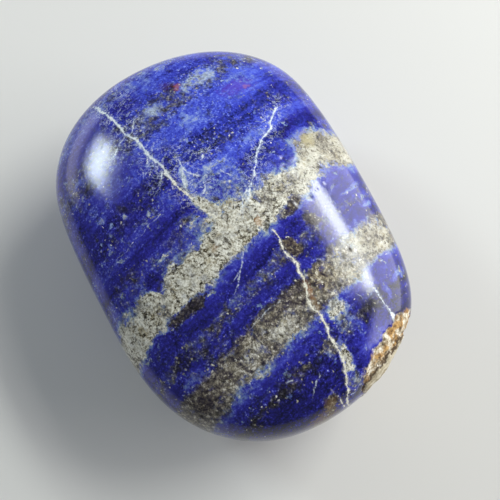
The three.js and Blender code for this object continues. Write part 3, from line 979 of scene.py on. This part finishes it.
def calcite(tree, rock, colour):
    amount = add_up(tree, rock.whiteness, (rock.grain, 0.08), (rock.streaks, 0.05))
    spots = add(tree, "TexNoise", [rock.ragged, *NOISES["spots"]], **GRAINY)
    spots = add(tree, "Math", [rock.busy, 0.30, spots], operation="MULTIPLY_ADD")
    spots = add(tree, "MapRange", [spots, 0.74, 1.05, 0.0, 0.32], **SOFT)
    amount = add(tree, "Math", [amount, spots], operation="ADD")
    share = add(tree, "MapRange", [amount, *HAZE_RANGE, 0.0, 0.9], **SOFT)
    patchy = add(tree, "MapRange", [rock.lumps, -0.2, 0.3, 0.4, 1.0], **SOFT)
    share = add(tree, "Math", [share, patchy], operation="MULTIPLY")
    # the azure half: calcite there is made bluer and lighter, partly its own colour and partly painted
    # light, the cast of a sky-blue window
    azure = add(tree, "Math", [rock.warm, 9.0, rock.across], operation="MULTIPLY_ADD")
    azure = add(tree, "MapRange", [azure, *AZURE_HALF], **SOFT)
    haze = fill_ramp(add(tree, "ValToRGB", [amount]), HAZE)
    bluer = fill_ramp(add(tree, "ValToRGB", [amount]), AZURE_HAZE)
    haze = add(tree, "Mix", [azure, haze, bluer], **MIXED)
    colour = add(tree, "Mix", [share, colour, haze], **MIXED)

    crumbs = add(tree, "TexNoise", [rock.ragged, *NOISES["crumbs"]], **GRAINY)
    # the torn-out gaps are painted darker
    torn_out = add(tree, "MapRange", [crumbs, -0.22, -0.62, 0.0, -0.34], **SOFT)
    net = add(tree, "TexNoise", [rock.ragged, *NOISES["net"]], **GRAINY)
    net = add(tree, "Math", [net], operation="ABSOLUTE")
    net = add(tree, "MapRange", [net, 0.08, 0.0, 0.0, 0.28], **SOFT)
    grit = add(tree, "Math", [rock.fine, -0.35], operation="MAXIMUM")
    relief = add_up(tree, net, (crumbs, 0.14), (grit, 0.54))
    relief = add(tree, "Math", [relief, torn_out], operation="ADD")
    # the calcite is painted darker towards the far flank: painted shade on that brightly lit side
    shade = add_up(tree, -0.10, (rock.whiteness, 0.5), (rock.calmer, 0.23), (rock.lumps, 0.20))
    shade = add_up(tree, shade, (azure, 0.20), (relief, rock.calmer))
    cream = fill_ramp(add(tree, "ValToRGB", [shade]), CALCITE)
    stain = add(tree, "TexNoise", [rock.ragged, *NOISES["rust"]], **GRAINY)
    stain = add(tree, "Math", [rock.warm, 0.8, stain], operation="MULTIPLY_ADD")
    stain = add(tree, "MapRange", [stain, 0.2, 1.2, 0.0, 0.7], **SOFT)
    cream = add(tree, "Mix", [stain, cream, linear(RUST)], blend_type="MULTIPLY", **MIXED)
    cream = add(tree, "Mix", [azure, cream, linear(COOLED)], blend_type="MULTIPLY", **MIXED)
    share = add(tree, "MapRange", [amount, *CREAM_RANGE], **SOFT)
    return add(tree, "Mix", [share, colour, cream], **MIXED), amount, crumbs


# %% [markdown]
# ** The dark matrix** is a fine mix of pyrite, diopside and clay. It clouds the rock softly, from
# a grey breath over the blue to nearly black knots, and is browner where iron has stained it.
# Where its grain peaks it is painted lighter, as glints.

# %% Dark matrix
MATRIX_RANGE = (0.5, 1.9)  # how much of it begins to show, and how much hides the rock


def matrix(tree, rock, colour):
    clouds = add(tree, "TexNoise", [rock.ragged, *NOISES["clouds"]], **GRAINY)
    amount = add_up(tree, clouds, (rock.dark, 3.0), (rock.fine, 0.25))
    share = add(tree, "MapRange", [amount, *MATRIX_RANGE, 0.0, 0.94], **SOFT)
    shade = add(tree, "TexNoise", [rock.place, *NOISES["matrix"]], **GRAINY)
    shade = add_up(tree, 0.27, (rock.whiteness, 0.50), (shade, 0.19), (rock.fine, 0.10))
    # painted glints: the matrix is made lighter where its grain peaks
    painted_glints = add(tree, "MapRange", [rock.grain, 0.2, 0.65, 0.0, 0.2], **SOFT)
    shade = add(tree, "Math", [shade, painted_glints], operation="ADD")
    cold = fill_ramp(add(tree, "ValToRGB", [shade]), MATRIX_COLD)
    warm = fill_ramp(add(tree, "ValToRGB", [shade]), MATRIX_WARM)
    grey = add(tree, "Mix", [rock.warm, cold, warm], **MIXED)
    return add(tree, "Mix", [share, colour, grey], **MIXED)


# %% [markdown]
# **Vein filling** is the same calcite, cleaner. The line is frayed by a noise, swells and breaks
# off, sends hairlines into the rock beside it and has a thin pale haze. On the stone's azure half
# the filling is bluish white, beyond the middle it is cream. Faint veins are so thin that the
# blue shines through them.

# %% Vein filling
FRAYED_BY = 0.2  # mm that a noise moves the veins' edges
VEIN_EDGE = (0.11, -0.08)  # mm from the edge, outside and inside, between rock and filling
FAINT_EDGE = (0.14, -0.06)  # the same for a faint vein
HAZE_WITHIN = (0.4, 0.0)  # mm from a vein
HAIRS_WITHIN = (3.0, 0.2)  # mm from a bluish vein
HAIR_HALF = (6.0, 2.0)  # mm across the beds, beyond which the veins send out no hairlines


def vein_filling(tree, rock, colour):
    frayed = stirred(tree, rock.place, FRAYED_BY, "frayed")
    level = add(tree, "SeparateXYZ", [rock.place]).outputs["Z"]
    gaps = [gap_to_veins(tree, frayed, level, filling) for filling in ("bluish", "cream", "faint")]
    bluish_gap, cream_gap, faint_gap = gaps
    gap = add(tree, "Math", [bluish_gap, cream_gap], operation="MINIMUM")
    breaks = add(tree, "TexNoise", [rock.place, *NOISES["breaks"]], **GRAINY)
    broken = add(tree, "Math", [breaks, 0.17, gap], operation="MULTIPLY_ADD")
    line = add(tree, "MapRange", [broken, *VEIN_EDGE], **SOFT)
    hairs = add(tree, "TexNoise", [rock.ragged, *NOISES["hairs"]], **GRAINY)
    hairs = add(tree, "Math", [hairs], operation="ABSOLUTE")
    hairs = add(tree, "MapRange", [hairs, 0.12, 0.0], **SOFT)
    beside = add(tree, "MapRange", [bluish_gap, *HAIRS_WITHIN, 0.0, 0.6], **SOFT)
    hairs = add(tree, "Math", [hairs, beside], operation="MULTIPLY")
    this_half = add(tree, "MapRange", [rock.across, *HAIR_HALF], **SOFT)
    hairs = add(tree, "Math", [hairs, this_half], operation="MULTIPLY")
    haze = add(tree, "MapRange", [gap, *HAZE_WITHIN, 0.0, 0.35], **SOFT)
    haze_breaks = add(tree, "MapRange", [breaks, 0.35, -0.35], **SOFT)
    haze = add(tree, "Math", [haze, haze_breaks], operation="MULTIPLY")
    faint = add(tree, "MapRange", [faint_gap, *FAINT_EDGE, 0.0, 0.7], **SOFT)
    seen = add(tree, "MapRange", [breaks, 0.3, -0.25, 0.1, 1.0], **SOFT)
    faint = add(tree, "Math", [faint, seen], operation="MULTIPLY")
    share = line
    for other in (hairs, faint, haze):
        share = add(tree, "Math", [share, other], operation="MAXIMUM")
    shade = add(tree, "Math", [rock.fine, 0.22, 0.5], operation="MULTIPLY_ADD")
    bluish = fill_ramp(add(tree, "ValToRGB", [shade]), VEIN_BLUISH)
    cream = fill_ramp(add(tree, "ValToRGB", [shade]), VEIN_CREAM)
    nearer = add(tree, "Math", [bluish_gap, faint_gap], operation="MINIMUM")
    nearer = add(tree, "Math", [nearer, cream_gap], operation="SUBTRACT")
    side = add(tree, "MapRange", [nearer, -0.3, 0.3], **SOFT)
    filling = add(tree, "Mix", [side, bluish, cream], **MIXED)
    return add(tree, "Mix", [share, colour, filling], **MIXED)


# %% [markdown]
# ** Pyrite** grows as tiny cubes that polish to brassy specks. A Voronoi pattern gives each speck
# a cell of its own, and only the few cells that draw a high number hold one. The specks run from
# dull brass to near white, and the lightest of them are painted glints.

# %% Pyrite
CELLS_PER_MM = 2.6
LUCK_IN_THE_DARK = 0.25  # the share of cells with a speck where the rock is all matrix


def pyrite(tree, rock, colour):
    cells = add(tree, "TexVoronoi", [rock.ragged, CELLS_PER_MM])
    draws = add(tree, "SeparateColor", [cells.outputs["Color"]])
    luck = add(tree, "Math", [rock.dark, LUCK_IN_THE_DARK, draws.outputs["Red"]], operation="MULTIPLY_ADD")
    won = add(tree, "Math", [luck, 1.0], operation="GREATER_THAN")
    reach = add(tree, "Math", [draws.outputs["Blue"], 0.45, 0.25], operation="MULTIPLY_ADD")
    near = add(tree, "MapRange", [cells, reach, 0.15], **SOFT)
    share = add(tree, "Math", [won, near], operation="MULTIPLY")
    # brass specks, the lightest of them painted glints
    brass_and_glint = fill_ramp(add(tree, "ValToRGB", [draws.outputs["Green"]]), BRASS_AND_GLINT)
    return add(tree, "Mix", [share, colour, brass_and_glint], **MIXED)


# %% [markdown]
# ** Stains** are small and each is its own accident: a red and a violet one at the far end, where
# iron and another blue mineral coloured the rock, yellow and rusty ones in the calcite and by the
# veins, and a few holes, which have no dent in the shape and are only painted dark. They run right
# through the rock, so half a height isn't given.

# %% Stains
STAINS = [  # what, x, y, half sizes in mm, colour, strength
    ("red", -24.5, 3.0, 0.8, 0.6, "#a4574a", 0.62),
    ("maroon", -25.5, 1.5, 0.8, 1.1, "#4a1b30", 0.35),
    ("violet", -19.5, 12.0, 1.6, 2.8, "#6042b4", 0.5),
    ("pink", -18.9, 13.6, 0.4, 0.6, "#b07890", 0.4),
    ("yellow in the calcite", -5.4, 17.6, 1.5, 1.2, "#b8ab78", 0.45),
    ("tan, by the knot", 5.0, 2.9, 0.7, 0.5, "#a5743c", 0.5),
    # holes with no dent in the shape, only painted as dark spots
    ("hole by the knot", 5.9, 3.5, 0.55, 0.45, "#17120d", 0.95),
    ("pit by the blotch", 18.4, 9.3, 0.45, 0.35, "#1a150f", 0.9),
    ("torn place in the fan", 4.7, -2.9, 1.0, 0.35, "#2a2116", 0.85),
    ("its neighbour", 3.6, -4.9, 0.8, 0.3, "#2f2619", 0.7),
    ("tan, lower", 5.4, -4.9, 0.8, 0.6, "#a8803f", 0.3),
    ("rust by the right vein", 17.2, 4.3, 1.5, 0.6, "#8a5a34", 0.6),
    ("rust on the other side of it", 19.6, 4.5, 1.2, 0.5, "#7c6038", 0.5),
    ("ochre at the end", 33.2, -0.5, 1.0, 0.9, "#6e5434", 0.5),
    ("ochre along the rim", 34.8, -2.2, 0.9, 2.2, "#7a6238", 0.6),
]
STAIN_RIM = (1.4, 0.5)  # how far out, of its half sizes, a stain begins and is whole


def stains(tree, rock, colour):
    for name, x, y, half_x, half_y, tint, strength in STAINS:
        half_sizes = (half_x, half_y, math.inf)
        frayed_by = (rock.grain, 0.6)
        share = lens(tree, name, rock.ragged, (x, y, 0), half_sizes, STAIN_RIM, frayed_by, strength)
        colour = add(tree, "Mix", [share, colour, linear(tint)], **MIXED)
    return colour


# %% [markdown]
# **The crust** is rock that weathered in the ground. From the polish outwards it is crumbly ochre
# and white, then a brown crack, then a sheet of ivory calcite with fine lines along it. The depth
# into the lens, torn a little by a noise, picks the layer.

# %% Crust
SHEET_SHAPE = (2.2, 1.0, 0.35)  # squeezed through the layers and drawn out along their height


def crust(tree, rock, colour):
    share, layer, crack = crust_field(tree, rock.place)
    crumbs = add(tree, "TexNoise", [rock.place, *NOISES["crust crumbs"]], **GRAINY)
    shade = add_up(tree, 0.55, (rock.fine, 0.22), (crumbs, 0.3))
    crumbly = fill_ramp(add(tree, "ValToRGB", [shade]), CRUMBLY_WHITE)
    rusty = add(tree, "TexNoise", [rock.place, *NOISES["crust rust"]], **GRAINY)
    rusty = add(tree, "MapRange", [rusty, -0.15, 0.45, 0.1, 0.95], **SOFT)
    crumbly = add(tree, "Mix", [rusty, crumbly, linear(CRUST_RUST)], blend_type="MULTIPLY", **MIXED)
    level = add(tree, "SeparateXYZ", [rock.place]).outputs["Z"]
    sheets = add(tree, "CombineXYZ", [layer, rock.lumps, level])
    sheets = add(tree, "VectorMath", [sheets, SHEET_SHAPE], operation="MULTIPLY")
    lines = add(tree, "TexNoise", [sheets, *NOISES["sheets"]], **GRAINY)
    shade = add_up(tree, 0.52, (lines, 0.26), (rock.fine, 0.12))
    ridge = fill_ramp(add(tree, "ValToRGB", [shade]), RIDGE_IVORY)
    beyond = add(tree, "MapRange", [layer, RIDGE_BEGINS - 0.1, RIDGE_BEGINS + 0.2], **SOFT)
    earth = add(tree, "Mix", [beyond, crumbly, ridge], **MIXED)
    earth = add(tree, "Mix", [crack, earth, linear(CRACK_BROWN)], **MIXED)
    return add(tree, "Mix", [share, colour, earth], **MIXED), share


# %% [markdown]
# ## The whole rock
# Polish is the same everywhere, so one surface carries all minerals. Lazurite takes the best
# shine, calcite is softer and stays a little duller and pitted, and the crust is matt. The bump
# is as shallow as real polishing relief, a few hundredths of a millimetre.

# %% The material
POLISH = {"lazurite": 0.085, "calcite": 0.15, "crust": 0.75}  # roughness
RELIEF = 0.02 * MM  # how deep the polish leaves soft grains


def rock_material():
    material = bpy.data.materials.new("polished lapis lazuli")
    material.use_nodes = True
    tree = material.node_tree
    tree.nodes.clear()
    rock = rock_fields(tree)
    colour, calcite_amount, crumbs = calcite(tree, rock, lazurite(tree, rock))
    for mineral in (matrix, stains, vein_filling, pyrite):
        colour = mineral(tree, rock, colour)
    colour, crusty = crust(tree, rock, colour)

    # the pits are painted dark
    pit = add(tree, "Attribute", attribute_name="pit").outputs["Fac"]
    colour = add(tree, "Mix", [pit, colour, linear(PIT_DARK)], **MIXED)

    rough = [calcite_amount, 0.40, 0.70, POLISH["lazurite"], POLISH["calcite"]]
    rough = add(tree, "MapRange", rough, **SOFT)
    rough = add(tree, "MapRange", [crusty, 0.0, 1.0, rough, POLISH["crust"]])
    soft = add(tree, "MapRange", [calcite_amount, 0.35, 0.65, 0.16, 1.0], **SOFT)
    soft = add(tree, "Math", [soft, rock.calmer], operation="MULTIPLY")
    pitted = add(tree, "Math", [rock.fine, 0.4, crumbs], operation="MULTIPLY_ADD")
    height = add(tree, "Math", [soft, pitted], operation="MULTIPLY")
    bump = add(tree, "Bump", {"Strength": 1.0, "Distance": RELIEF, "Height": height})
    surface = {"Base Color": colour, "Roughness": rough, "Metallic": 0.0, "Normal": bump}
    surface = add(tree, "BsdfPrincipled", surface)
    add(tree, "OutputMaterial", [surface])
    print("rock:", len(tree.nodes), "nodes")
    return material


lapis = rock_material()

# %% [markdown]
# ## The stone
# The wear tree now runs over the blank with the material as its last input. What comes out is
# kept as a plain mesh, whose modifier is gone.

# %% Make the stone
worn = {**WEAR_SIZES, "Pit Seed": PIT_SEED, "Middle": BLANK_MIDDLE, "Surface": lapis}
stone_mesh = mesh_from("wear", blank, wearing_down, worn)
stone_mesh.shade_smooth()
stone = bpy.data.objects.new("polished_stone", stone_mesh)
bpy.context.scene.collection.objects.link(stone)
print("stone:", len(stone_mesh.vertices), "points", [round(v / MM, 2) for v in stone.dimensions], "mm")
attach(stone, "root")
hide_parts("palm_stone")

# %% [markdown]
# ## The studio
# The stone is shown on plain pale paper. One square is enough, because the paper is flat and its
# edge is far outside the picture, and being matt it sends a soft light back under the stone.

# %% Floor
PAPER = (0.72, 0.70, 0.67, 1)
half = 0.6
corners = [(-half, -half, 0), (half, -half, 0), (half, half, 0), (-half, half, 0)]
floor_mesh = bpy.data.meshes.new("floor")
floor_mesh.from_pydata(corners, [], [(0, 1, 2, 3)])
floor = bpy.data.objects.new("floor", floor_mesh)
bpy.context.scene.collection.objects.link(floor)
paper = bpy.data.materials.new("matt paper")
paper.use_nodes = True
matt = paper.node_tree.nodes["Principled BSDF"]
matt.inputs["Base Color"].default_value = PAPER
matt.inputs["Roughness"].default_value = 0.8
floor_mesh.materials.append(paper)
print("floor:", 2 * half, "m wide")

# %% [markdown]
# The camera looks steeply down from close by, as a phone held over the table does, so the near
# end of the stone looks a little larger. It is placed by three numbers, which is easier to match
# to a photo than a position: where it stands around the stone, how high, and how far away.

# %% Camera
AZIMUTH = 61.5
ELEVATION = 72.0
DISTANCE = 109.5 * MM
TARGET = Vector((3.56, 1.83, 14.0)) * MM
LENS = 45  # on a film 36 mm wide


def direction(around, up):
    """towards a place that stands so many degrees around from X and so many up"""
    around = math.radians(around)
    up = math.radians(up)
    return Vector((math.cos(around) * math.cos(up), math.sin(around) * math.cos(up), math.sin(up)))


back = direction(AZIMUTH - 90, ELEVATION)
camera = bpy.data.objects.new("camera", bpy.data.cameras.new("camera"))
camera.data.lens = LENS
camera.data.sensor_width = 36
camera.data.clip_start = 0.005
camera.location = TARGET + back * DISTANCE
camera.rotation_euler = back.to_track_quat("Z", "Y").to_euler()
bpy.context.scene.collection.objects.link(camera)
bpy.context.scene.camera = camera
print("camera:", [round(v / MM, 1) for v in camera.location], "mm")

# %% [markdown]
# Polished stone shows its lights as shapes, so each light is a panel where a window or a pale
# wall would be. A small one makes the bright spot on the left shoulder, a long low one the streak
# down the right shoulder, with a fainter one above it as its halo. Of two broad dim walls, one
# lays the lavender veil over the right flank and a fainter one lights the left. The pale
# surroundings do the rest.

# %% Lights
LIGHTS_FAR = 0.6  # metres from the middle of the stone
STONE_MIDDLE = Vector((0, 0, 14)) * MM


def softbox(name, photo_side, height, width, tall, power, colour=(1, 1, 1)):
    """A lit panel that faces the stone. photo_side is the side of the picture that it stands on:
    0 is above the picture, 90 to its right. It and the sizes are degrees, as the stone sees them."""
    towards = direction(AZIMUTH + 90 - photo_side, height)
    data = bpy.data.lights.new(name, "AREA")
    data.shape = "RECTANGLE"
    data.size = 2 * LIGHTS_FAR * math.tan(math.radians(width / 2))
    data.size_y = 2 * LIGHTS_FAR * math.tan(math.radians(tall / 2))
    data.energy = power
    data.color = colour
    lamp = bpy.data.objects.new(name, data)
    lamp.location = towards * LIGHTS_FAR + STONE_MIDDLE
    lamp.rotation_euler = towards.to_track_quat("Z", "Y").to_euler()
    bpy.context.scene.collection.objects.link(lamp)


softbox("left window", -58, 30, 14.5, 9.5, 0.98, (0.82, 0.94, 1.0))
softbox("right window", 59, 40.8, 38, 6.2, 1.85, (0.94, 1.0, 0.96))
softbox("right window's blind", 58, 47, 36, 8, 0.7)
softbox("right wall", 72, 18.5, 66, 38, 4.1)
softbox("left wall", -60, 9, 34, 16, 0.4)
world = bpy.data.worlds.new("dim room")
bpy.context.scene.world = world
world.use_nodes = True
surroundings = world.node_tree.nodes["Background"]
surroundings.inputs["Color"].default_value = (0.85, 0.92, 1.0, 1)
surroundings.inputs["Strength"].default_value = 0.18
bpy.context.scene.view_settings.view_transform = "Standard"
